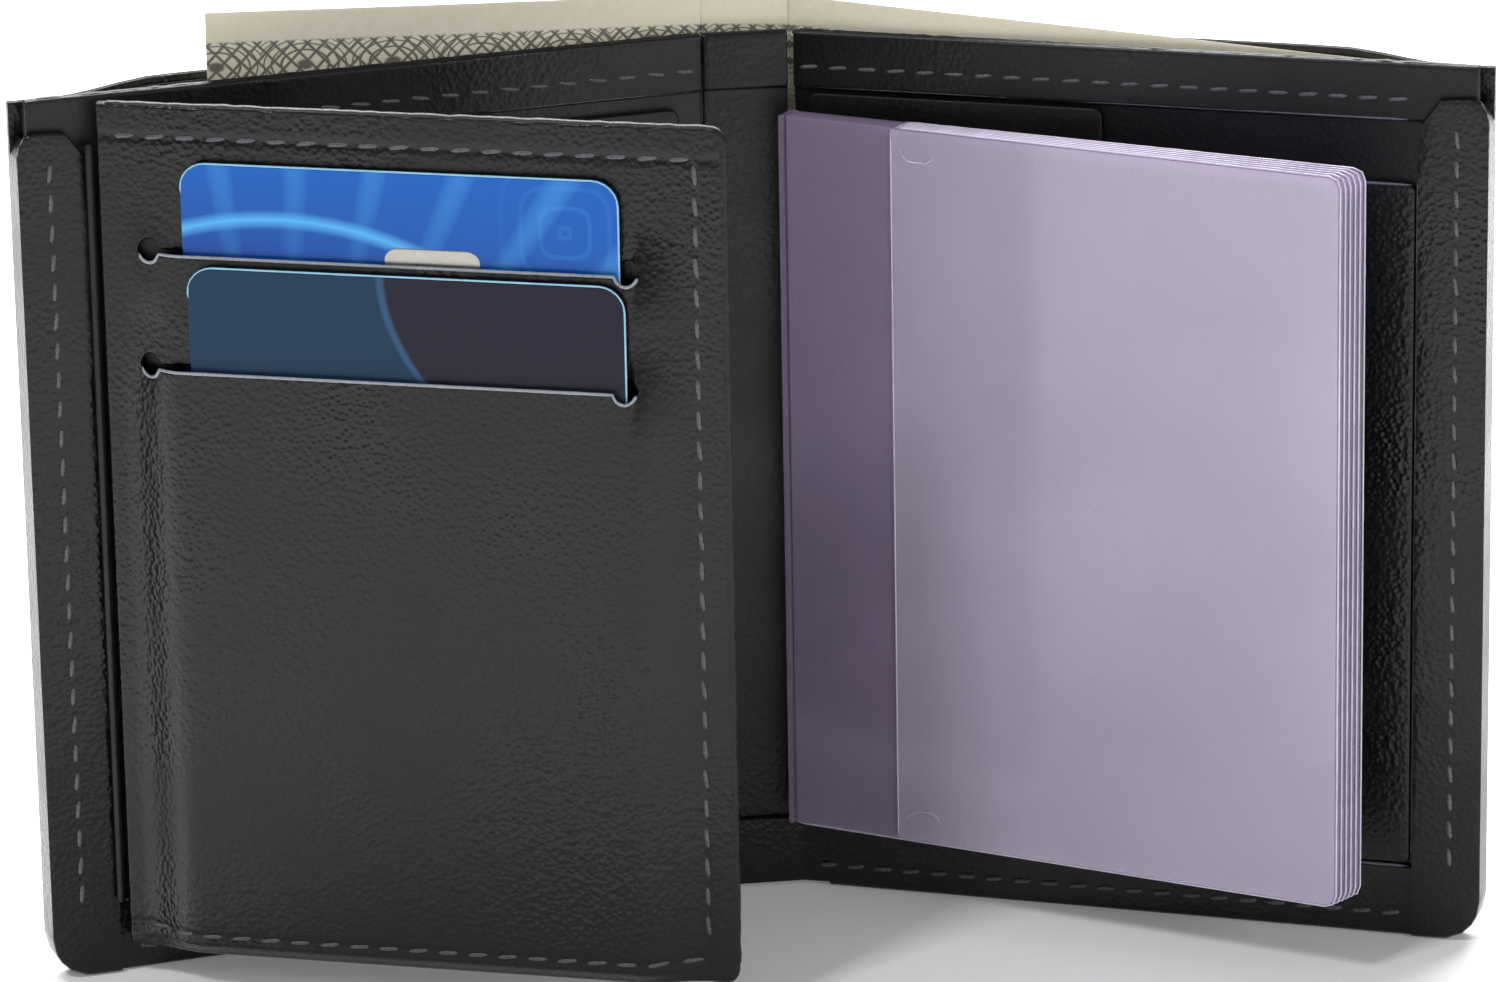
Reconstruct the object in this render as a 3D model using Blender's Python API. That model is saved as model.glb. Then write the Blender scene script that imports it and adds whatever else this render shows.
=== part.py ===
"""Trifold wallet with a swing flap, a clear page insert, two cards and a banknote.

The wallet stands on its bottom edge, opened to a wide V.  Lengths are in
millimetres until the last step, which writes metres.  +X runs to the right
cover, +Y runs away from the opening of the V, +Z is up.
"""
import math

import bmesh
import bpy

# ---------------------------------------------------------------- dimensions
WALLET_HEIGHT = 111.5          # bottom edge to top of the bill liner
SHELL_HEIGHT = 110.9           # top edge of the outer shell
LEFT_WIDTH = 87.4              # left crease to left edge
RIGHT_WIDTH = 88.0             # right crease to right edge
SPINE_WIDTH = 10.7             # between the two creases
LEFT_ANGLE = 19.0              # left cover, degrees towards the viewer
SPINE_ANGLE = 8.0
RIGHT_ANGLE = 16.8
SHIFT_X, SHIFT_Y = 4.55, 19.96     # puts the row's origin under the box centre

LEATHER = 1.0                  # shell and liner leather
LINING = 0.3
COMPARTMENT = 6.2              # bill compartment gap at its widest
SEAM_GAP = 0.3                 # the same gap at the sewn edges
EDGE_STRIP = 8.6               # shell edge turned over the front
BOTTOM_STRIP = 9.0
CORNER_RADIUS = 5.0
HEM_DEPTH = 7.0

AXIS_OUT = 2.0                 # fold axes lie this far in front of the liner

FLAP_ANGLE = 13.6              # flap direction, degrees towards the viewer
FLAP_WIDTH = 78.3
FLAP_LOW, FLAP_FOOT, FLAP_TOP = 4.2, 5.7, 111.2
FLAP_AXIS_OUT = 2.6            # flap hinge axis in front of the liner
FLAP_LEATHER = 0.7
FLAP_BACK_LEATHER = 0.6
TIER = 1.81                    # each lower tier stands this much further out
SLIT_LEFT, SLIT_RIGHT = 7.2, 66.5
UPPER_SLIT_Z = 93.3
LOWER_SLIT_Z = 79.3
SLIT_HOLE_R = 1.35

CARD_WIDTH, CARD_HEIGHT, CARD_THICK = 53.98, 85.6, 0.76
CARD_RADIUS = 3.18
UPPER_CARD_U, UPPER_CARD_Z = 11.6, 18.9
LOWER_CARD_U, LOWER_CARD_Z = 12.6, 6.5

PAGE_COUNT = 6
PAGE_WIDTH = 75.4
PAGE_LOW, PAGE_TOP = 9.4, 101.7
PAGE_PITCH = 0.5
PAGE_FAN = 0.35                # degrees between neighbouring pages
PAGE_LIFT = 9.3                # pages stand off the right cover by this
FILM = 0.12
BINDING_U, BINDING_W = 1.2, 1.9

NOTE_LENGTH, NOTE_HEIGHT = 150.0, 70.0
NOTE_THICK = 0.2
NOTE_TILT = 3.3
NOTE_DEPTH = 1.35              # behind the liner's front face

STITCH = 3.7


def turn(angle, x, y):
    a = math.radians(angle)
    return (x * math.cos(a) - y * math.sin(a), x * math.sin(a) + y * math.cos(a))


class Plane:
    """A vertical plane: u along it, w out of its front face, z up."""

    def __init__(self, x, y, along, front):
        self.x, self.y, self.along, self.front = x, y, along, front

    def at(self, u, w, z):
        return (self.x + u * self.along[0] + w * self.front[0],
                self.y + u * self.along[1] + w * self.front[1], z)


def facing(angle, side):
    """Directions of a cover that runs to one side and towards the viewer."""
    a = math.radians(angle)
    return (side * math.cos(a), -math.sin(a)), (-side * math.sin(a), -math.cos(a))


right_along, right_front = facing(RIGHT_ANGLE, 1)
left_along, left_front = facing(LEFT_ANGLE, -1)
sx, sy = facing(SPINE_ANGLE, -1)[0]
crease_x, crease_y = SPINE_WIDTH * sx + SHIFT_X, SPINE_WIDTH * sy + SHIFT_Y
RIGHT = Plane(SHIFT_X, SHIFT_Y, right_along, right_front)
LEFT = Plane(crease_x, crease_y, left_along, left_front)
SPINE = Plane(crease_x, crease_y, (-sx, -sy), (-sy, sx))

hinge = LEFT.at(LEFT_WIDTH - EDGE_STRIP, FLAP_AXIS_OUT, 0)
flap_along, flap_front = facing(FLAP_ANGLE, 1)
FLAP = Plane(hinge[0], hinge[1], flap_along, flap_front)


def page_plane(number):
    """Page 1 is the front page, page 6 lies next to the cover."""
    rank = PAGE_COUNT - number
    along, front = facing(RIGHT_ANGLE + PAGE_LIFT, 1)
    base = RIGHT.at(BINDING_U, BINDING_W, 0)
    x = base[0] + front[0] * PAGE_PITCH * rank
    y = base[1] + front[1] * PAGE_PITCH * rank
    along, front = facing(RIGHT_ANGLE + PAGE_LIFT + PAGE_FAN * rank, 1)
    return Plane(x, y, along, front)


# ------------------------------------------------------------------- builders
for old in list(bpy.data.objects):
    bpy.data.objects.remove(old, do_unlink=True)

wallet = bpy.data.collections.new("trifold_wallet")
bpy.context.scene.collection.children.link(wallet)


def material(name, colour, rough, metal=0.0, alpha=1.0):
    m = bpy.data.materials.new(name)
    m.use_nodes = True
    shader = m.node_tree.nodes["Principled BSDF"]
    shader.inputs["Base Color"].default_value = (*colour, 1.0)
    shader.inputs["Roughness"].default_value = rough
    shader.inputs["Metallic"].default_value = metal
    shader.inputs["Alpha"].default_value = alpha
    return m


def make(name, points, faces, look):
    """One closed body from points and faces, wound outwards."""
    mesh = bpy.data.meshes.new(name)
    mesh.from_pydata([(x / 1000, y / 1000, z / 1000) for x, y, z in points], [], faces)
    bm = bmesh.new()
    bm.from_mesh(mesh)
    bmesh.ops.remove_doubles(bm, verts=bm.verts, dist=1e-7)
    bmesh.ops.dissolve_degenerate(bm, edges=bm.edges, dist=1e-7)
    bmesh.ops.recalc_face_normals(bm, faces=bm.faces)
    if bm.calc_volume(signed=True) < 0:
        bmesh.ops.reverse_faces(bm, faces=bm.faces)
    bm.to_mesh(mesh)
    bm.free()
    body = bpy.data.objects.new(name, mesh)
    wallet.objects.link(body)
    mesh.materials.append(look)
    return body


def sweep(name, sections, look):
    """Closed body through a row of matching closed sections."""
    count = len(sections[0])
    points = [p for section in sections for p in section]
    faces = []
    for s in range(len(sections) - 1):
        for i in range(count):
            j = (i + 1) % count
            a, b = s * count, (s + 1) * count
            faces.append((a + i, a + j, b + j, b + i))
    faces.append(tuple(range(count)))
    last = (len(sections) - 1) * count
    faces.append(tuple(range(last, last + count)))
    return make(name, points, faces, look)


def panel(name, plane, outline, w0, w1, look):
    """Flat sheet: an outline in u and z given a thickness along w."""
    low = [plane.at(u, w0, z) for u, z in outline]
    high = [plane.at(u, w1, z) for u, z in outline]
    return sweep(name, [low, high], look)


def rounded(u0, z0, u1, z1, radii, steps=5):
    """Rectangle with radii at low-left, low-right, top-right, top-left."""
    if not isinstance(radii, (tuple, list)):
        radii = (radii,) * 4
    spots = [(u0, z0, 1, 1, 180), (u1, z0, -1, 1, 270), (u1, z1, -1, -1, 0), (u0, z1, 1, -1, 90)]
    points = []
    for (u, z, du, dz, start), r in zip(spots, radii):
        if r <= 0:
            points.append((u, z))
            continue
        for k in range(steps + 1):
            a = math.radians(start + 90 * k / steps)
            points.append((u + du * r + r * math.cos(a), z + dz * r + r * math.sin(a)))
    return points


def smooth(t):
    t = min(1.0, max(0.0, t))
    return t * t * (3 - 2 * t)


def gap(edge_distance, z):
    """Bill compartment gap: pinched at the side seam and the bottom seam."""
    return SEAM_GAP + (COMPARTMENT - SEAM_GAP) * smooth((edge_distance - 5) / 16) * smooth(
        (z - 7) / 30)


black = material("black_leather", (0.012, 0.012, 0.014), 0.42)
lining_look = material("black_lining", (0.02, 0.02, 0.022), 0.8)
thread_look = material("grey_thread", (0.20, 0.21, 0.23), 0.7)
film_look = material("clear_vinyl", (0.62, 0.56, 0.72), 0.15, alpha=0.35)
blue_card = material("blue_card", (0.03, 0.22, 0.62), 0.3)
dark_card = material("dark_card", (0.04, 0.05, 0.10), 0.3)
contact = material("card_contact", (0.75, 0.72, 0.62), 0.3, metal=1.0)
note_look = material("banknote_paper", (0.78, 0.72, 0.55), 0.8)

# ---------------------------------------------------------------- outer shell
LEVELS = [1.0, 7.0, 12.0, 18.0, 24.0, 30.0, 37.0, 60.0, 85.0]
SHELL_INNER = -LEATHER - LINING - 0.3


def shell_section(at, edge_distance, rise=0.0, strip=0.25, strip_top=BOTTOM_STRIP, floor=None):
    """Back sheet, bottom fold and turned front strip, as one closed outline."""
    floor = rise + 1.0 if floor is None else floor
    front, back = strip + 0.8, SHELL_INNER - SEAM_GAP - LEATHER
    levels = [max(z, floor + 0.02 * k) for k, z in enumerate(LEVELS)] + [SHELL_HEIGHT]
    loop = [(back, rise + 0.3), (back + 0.3, rise), (front - 0.3, rise), (front, rise + 0.3),
            (front, strip_top - 0.2), (front - 0.2, strip_top), (strip, strip_top), (strip, floor)]
    loop += [(SHELL_INNER - gap(edge_distance, z), z) for z in levels]
    loop += [(SHELL_INNER - gap(edge_distance, z) - LEATHER, z)
             for z in [SHELL_HEIGHT] + [max(z, rise + 0.6 + 0.02 * k)
                                        for k, z in reversed(list(enumerate(LEVELS)))]]
    return [at(w, z) for w, z in loop]


def cover_shell(name, plane, width, start, side_strip):
    """One half of the shell with its bottom and side edges turned over the front."""
    inner_end = width - EDGE_STRIP
    stops = [(start + (width - 27 - start) * k / 4, 0.25, BOTTOM_STRIP, None) for k in range(5)]
    stops += [(width - x, 0.25, BOTTOM_STRIP, None) for x in (23, 19, 15, 11, EDGE_STRIP + 0.06)]
    stops += [(width - EDGE_STRIP - 0.03, side_strip, BOTTOM_STRIP, None)]
    ends = [(0.0, 12.0), (0.4, 6.5), (2.5, 3.6), (4.4, 3.4), (6.4, 3.3), (7.6, 3.6)]
    stops += [(inner_end + x, side_strip, SHELL_HEIGHT - down, None) for x, down in ends]
    top = SHELL_HEIGHT - 3.65
    stops += [(width - 1.0, side_strip, top, top - 0.4), (width - 0.4, side_strip, top - 1.2, top - 1.6),
              (width, side_strip, top - 2.4, top - 2.8)]
    sections = []
    for u, strip, strip_top, floor in stops:
        over = max(0.0, u - (width - CORNER_RADIUS))
        rise = CORNER_RADIUS - math.sqrt(max(0.0, CORNER_RADIUS ** 2 - over ** 2))
        sections.append(shell_section(lambda w, z, u=u: plane.at(u, w, z), width - u, rise, strip,
                                      strip_top, floor))
    return sweep(name, sections, black)


SHELL_START_LEFT, SHELL_START_RIGHT = 1.5, 4.0
cover_shell("outer_shell_left", LEFT, LEFT_WIDTH, SHELL_START_LEFT, 0.9)
cover_shell("outer_shell_right", RIGHT, RIGHT_WIDTH, SHELL_START_RIGHT, 0.7)


def corner_line(first, second, point):
    """A crease between two planes, as a function of the offset from them."""
    mx, my = first.front[0] + second.front[0], first.front[1] + second.front[1]
    scale = 1.0 / (mx * first.front[0] + my * first.front[1])
    return lambda w, z: (point[0] + w * mx * scale, point[1] + w * my * scale, z)


left_crease = corner_line(LEFT, SPINE, (LEFT.x, LEFT.y))
right_crease = corner_line(SPINE, RIGHT, (RIGHT.x, RIGHT.y))
around_spine = [lambda w, z: LEFT.at(SHELL_START_LEFT - 0.3, w, z), left_crease,
                lambda w, z: SPINE.at(SPINE_WIDTH / 2, w, z), right_crease,
                lambda w, z: RIGHT.at(SHELL_START_RIGHT - 0.3, w, z)]
sweep("outer_shell_spine",
      [shell_section(lambda w, z, line=line: line(w, max(z, 0.3)), 60.0) for line in around_spine],
      black)


def lining_sheet(name, plane, start, width):
    back, front = -LEATHER - LINING, -LEATHER
    stops = [start + (width - 27 - start) * k / 3 for k in range(4)]
    stops += [width - x for x in (23, 19, 15, 11, EDGE_STRIP, 8.3, 6.2, 4.3, 1.6)]
    sections = []
    for u in stops:
        levels = [6.0 if u > width - 5 else 1.6] + LEVELS[1:] + [SHELL_HEIGHT - 0.8]
        loop = [(front - gap(width - u, z), z) for z in levels]
        loop += [(back - gap(width - u, z), z) for z in reversed(levels)]
        sections.append([plane.at(u, w, z) for w, z in loop])
    return sweep(name, sections, lining_look)


lining_sheet("shell_lining_left", LEFT, SHELL_START_LEFT, LEFT_WIDTH)
lining_sheet("shell_lining_right", RIGHT, SHELL_START_RIGHT, RIGHT_WIDTH)


# ---------------------------------------------------------------- bill liner
def liner_section(at, low):
    top = WALLET_HEIGHT
    loop = [(-LEATHER, low), (0.0, low), (0.0, top - HEM_DEPTH - 0.3), (0.45, top - HEM_DEPTH),
            (0.45, top - 0.3), (0.15, top), (-LEATHER + 0.3, top), (-LEATHER, top - 0.3)]
    return [at(w, z) for w, z in loop]


def liner_sheet(name, plane, start, width):
    stops = [(start, 1.3), (width - 5.5, 1.3), (width - 3.0, 3.0), (width - 1.5, 6.5)]
    return sweep(name, [liner_section(lambda w, z, u=u: plane.at(u, w, z), low)
                        for u, low in stops], black)


liner_sheet("bill_liner_left", LEFT, 0.35, LEFT_WIDTH)
liner_sheet("bill_liner_right", RIGHT, 0.65, RIGHT_WIDTH)
sweep("bill_liner_spine", [liner_section(lambda w, z, u=u: SPINE.at(u, w, z), 1.3)
                           for u in (0.35, SPINE_WIDTH - 0.65)], black)

# ------------------------------------------------ pockets on the two covers
top_of_panels = WALLET_HEIGHT - HEM_DEPTH - 0.6
panel("hidden_pocket_left", LEFT,
      rounded(3.6, BOTTOM_STRIP + 0.4, LEFT_WIDTH - EDGE_STRIP - 1.6, top_of_panels - 1.5, 1.0, 3),
      0.3, 1.0, black)
panel("insert_sleeve_panel", RIGHT,
      rounded(2.8, BOTTOM_STRIP + 0.4, 40.0, top_of_panels, 1.0, 3), 0.75, 1.4, black)
panel("card_pocket_right", RIGHT,
      rounded(41.0, BOTTOM_STRIP + 0.4, RIGHT_WIDTH - EDGE_STRIP - 0.4, 96.5, 0.8, 3),
      0.3, 1.0, black)

# ----------------------------------------------------------------- swing flap
tab = LEFT_WIDTH - EDGE_STRIP
tab_plan = [(LEFT_WIDTH - 1.6, 0.5), (LEFT_WIDTH - 1.6, 0.85), (tab - 0.2, 0.85), (tab - 0.2, 1.75),
            (tab - 0.8, 1.75), (tab - 0.8, 0.5)]
sweep("flap_hinge_tab", [[LEFT.at(u, w, z) for u, w in tab_plan]
                         for z in (BOTTOM_STRIP + 0.5, SHELL_HEIGHT - 5.5)], black)
sweep("flap_hinge_gusset",
      [[FLAP.at(0.55 * math.cos(math.radians(60 * k)), 0.55 * math.sin(math.radians(60 * k)), z)
        for k in range(6)] for z in (BOTTOM_STRIP + 0.5, FLAP_TOP - 5.2)], black)

FRONT_LEVEL = 0.15             # front face of the pinched flap edge


def slit_half(u):
    """Half opening of a slit, with a punched hole at each end."""
    r = SLIT_HOLE_R
    for end in (SLIT_LEFT, SLIT_RIGHT):
        inside = (u > end) == (end == SLIT_LEFT)
        d = abs(u - end)
        if d <= r + 1e-6 and not (inside and d > r * 0.98):
            return math.sqrt(max(0.0, r * r - d * d))
    if SLIT_LEFT < u < SLIT_RIGHT:
        return 0.25
    return 0.0


def across(u):
    """Tiers stand out over the cards and die away towards the flap's sides."""
    rise = smooth((u - (SLIT_LEFT - SLIT_HOLE_R)) / (UPPER_CARD_U - 0.3 - SLIT_LEFT + SLIT_HOLE_R))
    fall = 1.0 if u <= LOWER_CARD_U + CARD_WIDTH + 0.2 else smooth(
        (SLIT_RIGHT + SLIT_HOLE_R - u) / (SLIT_RIGHT + SLIT_HOLE_R
                                          - LOWER_CARD_U - CARD_WIDTH - 0.2))
    return min(rise, fall)


def flap_out(u, z, tier):
    """How far the front leather stands out of the pinched edge."""
    foot = smooth((z - FLAP_FOOT) / (LOWER_CARD_Z - 0.3 - FLAP_FOOT))
    return TIER * tier * across(u) * foot


def flap_columns():
    r = SLIT_HOLE_R
    columns = [1.0, 3.6]
    columns += [SLIT_LEFT + r * k for k in (-1.0, -0.7, 0.0, 0.7, 0.98)]
    columns += [10.2, UPPER_CARD_U - 0.3, 20.0, 30.0, 40.0, 50.0, 60.0, 64.5]
    columns += [SLIT_RIGHT + r * k for k in (-0.98, -0.7, 0.0, 0.7, 1.0)]
    columns += [70.5, 74.5, FLAP_WIDTH - 0.6, FLAP_WIDTH]
    return columns


def sheet(name, rows, thick, look):
    """Closed sheet from rows of (plane point maker) cells; None leaves a slit."""
    index, points, faces, edges = {}, [], [], {}

    def vertex(p):
        key = tuple(round(c, 5) for c in p)
        if key not in index:
            index[key] = len(points)
            points.append(p)
        return index[key]

    for upper, lower in rows:
        for i in range(len(upper) - 1):
            quad = [lower[i], lower[i + 1], upper[i + 1], upper[i]]
            for sign in (0, 1):
                ids = [vertex(FLAP.at(u, w - sign * thick, z)) for u, w, z in quad]
                ids = [v for k, v in enumerate(ids) if v != ids[k - 1]]
                if len(ids) < 3:
                    continue
                faces.append(tuple(ids if sign == 0 else reversed(ids)))
                if sign == 0:
                    partner = dict(zip([vertex(FLAP.at(u, w, z)) for u, w, z in quad],
                                       [vertex(FLAP.at(u, w - thick, z)) for u, w, z in quad]))
                    for k, v in enumerate(ids):
                        edges.setdefault(frozenset((ids[k - 1], v)), []).append(
                            (ids[k - 1], v, partner))
    for uses in edges.values():
        if len(uses) == 1:
            a, b, partner = uses[0]
            faces.append((b, a, partner[a], partner[b]))
    return make(name, points, faces, look)


def flap_row(z, tier):
    return [(u, FRONT_LEVEL + flap_out(u, z, tier), z) for u in flap_columns()]


def lip_row(z, side, tier):
    return [(u, FRONT_LEVEL + flap_out(u, z, tier), z + side * slit_half(u))
            for u in flap_columns()]


top_zone = [flap_row(FLAP_TOP, 0), flap_row(FLAP_TOP - 0.6, 0), lip_row(UPPER_SLIT_Z, 1, 0)]
mid_zone = [lip_row(UPPER_SLIT_Z, -1, 1), flap_row(85.0, 1), lip_row(LOWER_SLIT_Z, 1, 1)]
low_zone = [lip_row(LOWER_SLIT_Z, -1, 2)] + [flap_row(z, 2) for z in
                                             (60.0, 40.0, 20.0, 11.0, 6.2, 6.08, 5.95, 5.82,
                                              FLAP_FOOT, FLAP_LOW)]
strips = []
for zone in (top_zone, mid_zone, low_zone):
    strips += [(zone[k], zone[k + 1]) for k in range(len(zone) - 1)]
sheet("flap_front", strips, FLAP_LEATHER, black)
BACK_FRONT = FRONT_LEVEL - FLAP_LEATHER - 0.15
panel("flap_back", FLAP, rounded(1.0, FLAP_LOW, FLAP_WIDTH, FLAP_TOP, (0, 1.5, 1.5, 0), 3),
      BACK_FRONT - FLAP_BACK_LEATHER, BACK_FRONT, black)


def pocket_lining(name, u0, z0, z1, w0):
    panel(name, FLAP, rounded(u0, z0, u0 + CARD_WIDTH + 0.7, z1, 1.0, 2), w0, w0 + 0.12,
          lining_look)


upper_card_w = FRONT_LEVEL + 0.2
lower_card_w = upper_card_w + CARD_THICK + 0.15 + FLAP_LEATHER + 0.15
pocket_lining("upper_slot_lining", UPPER_CARD_U - 0.5, UPPER_CARD_Z - 0.6, UPPER_SLIT_Z - 1.5,
              upper_card_w - 0.4)
pocket_lining("lower_slot_lining", LOWER_CARD_U - 0.5, LOWER_CARD_Z + 0.2, LOWER_SLIT_Z - 1.5,
              lower_card_w - 0.45)

# ---------------------------------------------------------------------- cards
for name, u, z, w, look in (
        ("payment_card_upper", UPPER_CARD_U, UPPER_CARD_Z, upper_card_w, blue_card),
        ("payment_card_lower", LOWER_CARD_U, LOWER_CARD_Z, lower_card_w, dark_card)):
    panel(name, FLAP, rounded(u, z, u + CARD_WIDTH, z + CARD_HEIGHT, CARD_RADIUS), w,
          w + CARD_THICK, look)
chip_u, chip_top = UPPER_CARD_U + 25.2, UPPER_CARD_Z + CARD_HEIGHT - 9.3
panel("card_chip_upper", FLAP, rounded(chip_u, chip_top - 13.0, chip_u + 11.8, chip_top, 1.6, 3),
      upper_card_w + CARD_THICK + 0.02, upper_card_w + CARD_THICK + 0.07, contact)

# ------------------------------------------------------------- photo insert
panel("insert_tab", RIGHT, rounded(1.6, PAGE_LOW + 1, 34.0, PAGE_TOP - 1, 1.5, 3), 0.2, 0.5,
      film_look)
binding = page_plane(PAGE_COUNT)
binding_plan = [(-0.85, -0.35), (0.35, -0.35), (0.35, -0.1), (-0.25, -0.1),
                (-0.25, PAGE_PITCH * PAGE_COUNT + 0.1), (-0.85, PAGE_PITCH * PAGE_COUNT + 0.1)]
sweep("insert_spine_film", [[binding.at(u, w, z) for u, w in binding_plan]
                            for z in (PAGE_LOW, PAGE_TOP)], film_look)
for number in range(1, PAGE_COUNT + 1):
    plane = page_plane(number)
    right_end = PAGE_WIDTH - 0.25 * (PAGE_COUNT - number)
    outline = rounded(0.0, PAGE_LOW, right_end, PAGE_TOP, (0.8, 1.5, 1.5, 0.8), 2)
    panel("page_%d_back_film" % number, plane, outline, 0.0, FILM, film_look)
    outline = rounded(14.5 if number < PAGE_COUNT else 14.0, PAGE_LOW + 0.2, right_end - 0.2,
                      PAGE_TOP - 0.2, (0.8, 1.3, 1.3, 0.8), 2)
    panel("page_%d_front_film" % number, plane, outline, FILM + 0.06, FILM * 2 + 0.06, film_look)

# -------------------------------------------------------------------- banknote
NOTE_LEFT_END = -73.4          # along the bend, from the right crease
NOTE_TOP_LEFT = WALLET_HEIGHT + 8.2


def note_height(s):
    """Top edge of the tilted note at a distance along it."""
    return NOTE_TOP_LEFT - math.tan(math.radians(NOTE_TILT)) * (s - NOTE_LEFT_END)


def note_panel(name, plane, s0, s1, to_u, tilt_left=False, tilt_right=False):
    h = NOTE_HEIGHT / math.cos(math.radians(NOTE_TILT))
    lean = NOTE_HEIGHT * math.sin(math.radians(NOTE_TILT))
    a0, a1 = (s0 - lean if tilt_left else s0), (s1 - lean if tilt_right else s1)
    corners = [(a0, note_height(a0) - h), (a1, note_height(a1) - h), (s1, note_height(s1)),
               (s0, note_height(s0))]
    return panel(name, plane, [(to_u(s), z) for s, z in corners], -NOTE_DEPTH - NOTE_THICK,
                 -NOTE_DEPTH, note_look)


note_panel("banknote_left", LEFT, NOTE_LEFT_END, -SPINE_WIDTH - 0.5,
           lambda s: -SPINE_WIDTH - s, tilt_left=True)
note_panel("banknote_centre", SPINE, -SPINE_WIDTH + 0.5, -1.0, lambda s: SPINE_WIDTH + s)
note_panel("banknote_right", RIGHT, 1.0, NOTE_LEFT_END + NOTE_LENGTH, lambda s: s,
           tilt_right=True)


# --------------------------------------------------------------------- stitches
def thread(name, at, path, high=0.3, wide=0.5):
    """A row of stitches lying on the leather; at(a, b) gives a point and its z.

    path lists (u, z) corners; the sheet's own face height comes from at().
    """
    marks, total = [], 0.0
    for (u0, z0), (u1, z1) in zip(path, path[1:]):
        length = math.hypot(u1 - u0, z1 - z0)
        count = max(1, round(length / STITCH)) * 3
        for k in range(count):
            marks.append((u0 + (u1 - u0) * k / count, z0 + (z1 - z0) * k / count, k % 3))
        total += length
    marks.append((*path[-1], 0))
    sections = []
    for k, (u, z, phase) in enumerate(marks):
        before, after = marks[max(0, k - 1)], marks[min(len(marks) - 1, k + 1)]
        du, dz = after[0] - before[0], after[1] - before[1]
        size = math.hypot(du, dz)
        nu, nz = -dz / size, du / size
        half = wide / 2 if phase else wide / 5
        tall = high if phase else high * 0.35
        sections.append([at(u + nu * half, z + nz * half, 0.03), at(u - nu * half, z - nz * half, 0.03),
                         at(u - nu * half * 0.6, z - nz * half * 0.6, tall + 0.03),
                         at(u + nu * half * 0.6, z + nz * half * 0.6, tall + 0.03)])
    return sweep(name, sections, thread_look)


def on(plane, face):
    return lambda u, z, lift: plane.at(u, face + lift, z)


mid_left, mid_right = LEFT_WIDTH - 3.9, RIGHT_WIDTH - 3.9
thread("side_seam_thread_left", on(LEFT, 1.7), [(mid_left, 11.0), (mid_left, SHELL_HEIGHT - 6.5)])
thread("side_seam_thread_right", on(RIGHT, 1.5), [(mid_right, 12.0), (mid_right, SHELL_HEIGHT - 6.5)])
thread("bottom_seam_thread_left", on(LEFT, 1.05), [(0.4, 2.8), (LEFT_WIDTH - 10.5, 2.8)],
       0.12)
thread("bottom_seam_thread_right", on(RIGHT, 1.05), [(5.0, 2.8), (RIGHT_WIDTH - 10.5, 2.8)])
hem = WALLET_HEIGHT - 4.5
thread("hem_thread_left", on(LEFT, 0.45), [(0.6, hem), (LEFT_WIDTH - EDGE_STRIP - 2.5, hem)], 0.25)
thread("hem_thread_right", on(RIGHT, 0.45), [(0.8, hem), (RIGHT_WIDTH - EDGE_STRIP - 1.0, hem)], 0.25)


def on_flap(u, z, lift):
    return FLAP.at(u, FRONT_LEVEL + flap_out(u, z, 2 if z < LOWER_SLIT_Z else 0) + lift, z)


stitch_u = FLAP_WIDTH - 3.6
thread("flap_thread", on_flap, [(3.0, FLAP_TOP - 3.9), (stitch_u, FLAP_TOP - 3.9), (stitch_u, 6.4)],
       0.1, 0.45)
thread("flap_bottom_thread", on_flap, [(5.0, 4.95), (stitch_u - 0.8, 4.95)], 0.12, 0.45)

for body in wallet.objects:
    for polygon in body.data.polygons:
        polygon.use_smooth = False
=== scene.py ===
"""Looks of the folding wallet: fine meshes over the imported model, materials, camera and light.

Lengths are millimetres in the functions below and turned into metres when a mesh is made. Each
leaf of the wallet has its own flat frame: u along the leaf, w out of its front face, z up.
"""
import math

import bmesh
import bpy
from mathutils import Matrix, Vector, noise


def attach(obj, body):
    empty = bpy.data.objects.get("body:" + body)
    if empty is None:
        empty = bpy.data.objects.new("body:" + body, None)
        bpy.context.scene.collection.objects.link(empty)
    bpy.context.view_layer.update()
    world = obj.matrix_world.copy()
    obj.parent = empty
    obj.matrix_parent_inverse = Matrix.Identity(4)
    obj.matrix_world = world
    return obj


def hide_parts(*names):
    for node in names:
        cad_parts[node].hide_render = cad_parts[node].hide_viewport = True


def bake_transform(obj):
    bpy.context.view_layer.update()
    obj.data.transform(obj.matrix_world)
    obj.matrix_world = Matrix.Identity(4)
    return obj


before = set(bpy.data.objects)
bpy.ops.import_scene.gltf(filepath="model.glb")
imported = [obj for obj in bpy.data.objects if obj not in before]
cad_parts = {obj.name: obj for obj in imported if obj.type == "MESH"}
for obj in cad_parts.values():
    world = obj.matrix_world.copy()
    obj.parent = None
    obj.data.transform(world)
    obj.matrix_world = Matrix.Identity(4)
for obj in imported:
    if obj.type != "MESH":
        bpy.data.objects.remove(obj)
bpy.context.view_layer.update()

# ------------------------------------------------------------------ dimensions
MM = 0.001
WALLET_HEIGHT, SHELL_HEIGHT = 111.5, 110.9
LEFT_WIDTH, RIGHT_WIDTH, SPINE_WIDTH = 87.4, 88.0, 10.7
LEFT_ANGLE, SPINE_ANGLE, RIGHT_ANGLE, FLAP_ANGLE = 19.0, 8.0, 16.8, 13.6
RIGHT_CREASE = (4.55, 19.96)
EDGE_STRIP, BOTTOM_STRIP = 8.6, 9.0
FLAP_WIDTH, FLAP_LOW, FLAP_TOP, FLAP_AXIS_OUT = 78.3, 4.2, 111.2, 2.6
FLAP_LEATHER, TIER = 0.7, 1.81
SLIT_LEFT, SLIT_RIGHT, SLIT_HOLE = 7.2, 66.5, 1.35
UPPER_SLIT, LOWER_SLIT = 93.3, 79.3
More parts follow.
